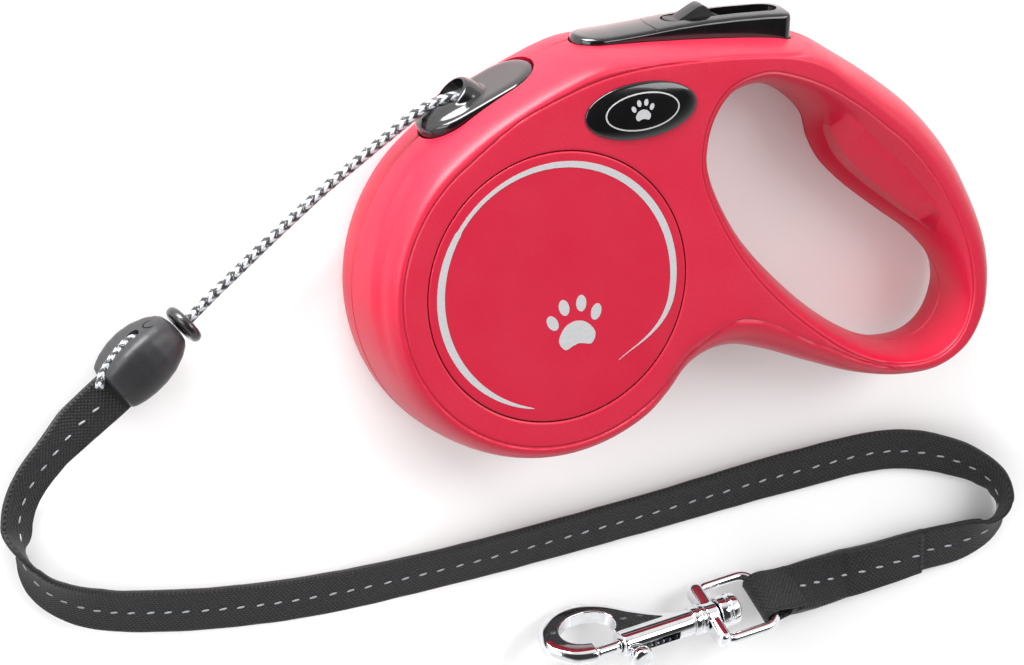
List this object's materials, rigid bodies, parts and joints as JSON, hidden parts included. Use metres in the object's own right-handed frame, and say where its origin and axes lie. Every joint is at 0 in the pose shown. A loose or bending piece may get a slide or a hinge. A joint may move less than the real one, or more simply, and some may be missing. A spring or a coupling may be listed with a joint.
{
  "type": "retractable leash",
  "caption": "Retractable dog leash: hollow-grip casing with a spring-wound cord drum, brake button with lock slider, cord stop, webbing strap and swivelling bolt snap.",
  "frame": {"origin": "where the drum's axis meets the casing's back face, which lies on the ground", "axes": "+Z out of the front label, +X from the drum to the grip, +Y towards the brake button"},
  "size_m": [0.264, 0.1631, 0.0321],
  "materials": {
    "casing_red": "fine-grained satin",
    "label_red": "smooth satin",
    "gloss_black": "polished",
    "dark_plastic": "satin",
    "black_rubber": "matt",
    "white_plastic": "matt",
    "spring_steel": "rolled",
    "chrome": "polished plate",
    "cord_grey": "black and white braid",
    "webbing_black": "ribbed weave with a reflective running stitch"
  },
  "bodies": {
    "handle": {"casing_front": "casing_red", "casing_back": "casing_red", "casing_screw_1": "spring_steel", "casing_screw_2": "spring_steel", "casing_screw_3": "spring_steel", "casing_screw_4": "spring_steel", "label_front": "label_red", "label_back": "label_red", "badge": "gloss_black", "cord_outlet": "gloss_black", "axle": "spring_steel", "axle_washer_back": "spring_steel", "axle_washer_front": "spring_steel", "spring_arbor": "spring_steel", "button_pivot_pin": "spring_steel", "button_spring": "spring_steel", "cord_inner": "cord_grey", "cord_line": "cord_grey", "cord_stop": "dark_plastic", "cord_tail": "cord_grey", "bumper_ring": "black_rubber", "strap": "webbing_black", "strap_doubled": "webbing_black", "strap_end_loop": "webbing_black", "snap_eye": "chrome"},
    "drum": {"drum": "white_plastic", "drum_flange": "white_plastic", "cord_winding": "cord_grey", "spring_cover": "white_plastic", "power_spring": "spring_steel"},
    "brake_button": {"brake_button": "gloss_black"},
    "lock_slider": {"lock_slider": "dark_plastic"},
    "brake_plunger": {"brake_plunger": "white_plastic"},
    "snap_hook": {"snap_hook": "chrome", "bolt_spring": "spring_steel"},
    "snap_bolt": {"snap_bolt": "chrome"}
  },
  "joints": [
    {"name": "drum_spin", "type": "hinge", "parent": "handle", "child": "drum", "pos_m": [0, 0, 0.016], "axis": [0, 0, 1], "continuous": true},
    {"name": "button_press", "type": "hinge", "parent": "handle", "child": "brake_button", "pos_m": [0.012, 0.0524, 0.014], "axis": [0, 0, -1], "range_deg": [0, 4.5], "stiffness_Nm_per_rad": 3, "springref_deg": -2.86, "deforming": ["button_spring"]},
    {"name": "plunger_slide", "type": "slide", "parent": "handle", "child": "brake_plunger", "axis": [-0.5501, -0.8351, 0], "range_m": [0, 0.0022]},
    {"name": "lock_slide", "type": "slide", "parent": "brake_button", "child": "lock_slider", "axis": [1, 0, 0], "range_m": [0, 0.008]},
    {"name": "snap_swivel", "type": "hinge", "parent": "handle", "child": "snap_hook", "pos_m": [0.0533, -0.0898, 0.0117], "axis": [0.9728, 0.2068, -0.1045], "continuous": true},
    {"name": "bolt_slide", "type": "slide", "parent": "snap_hook", "child": "snap_bolt", "axis": [0.9728, 0.2068, -0.1045], "range_m": [0, 0.0065], "stiffness_N_per_m": 300, "springref_m": -0.003, "deforming": ["bolt_spring"]}
  ],
  "couplings": [
    {"joint": "plunger_slide", "follows": "button_press", "m_per_rad": 0.028}
  ]
}
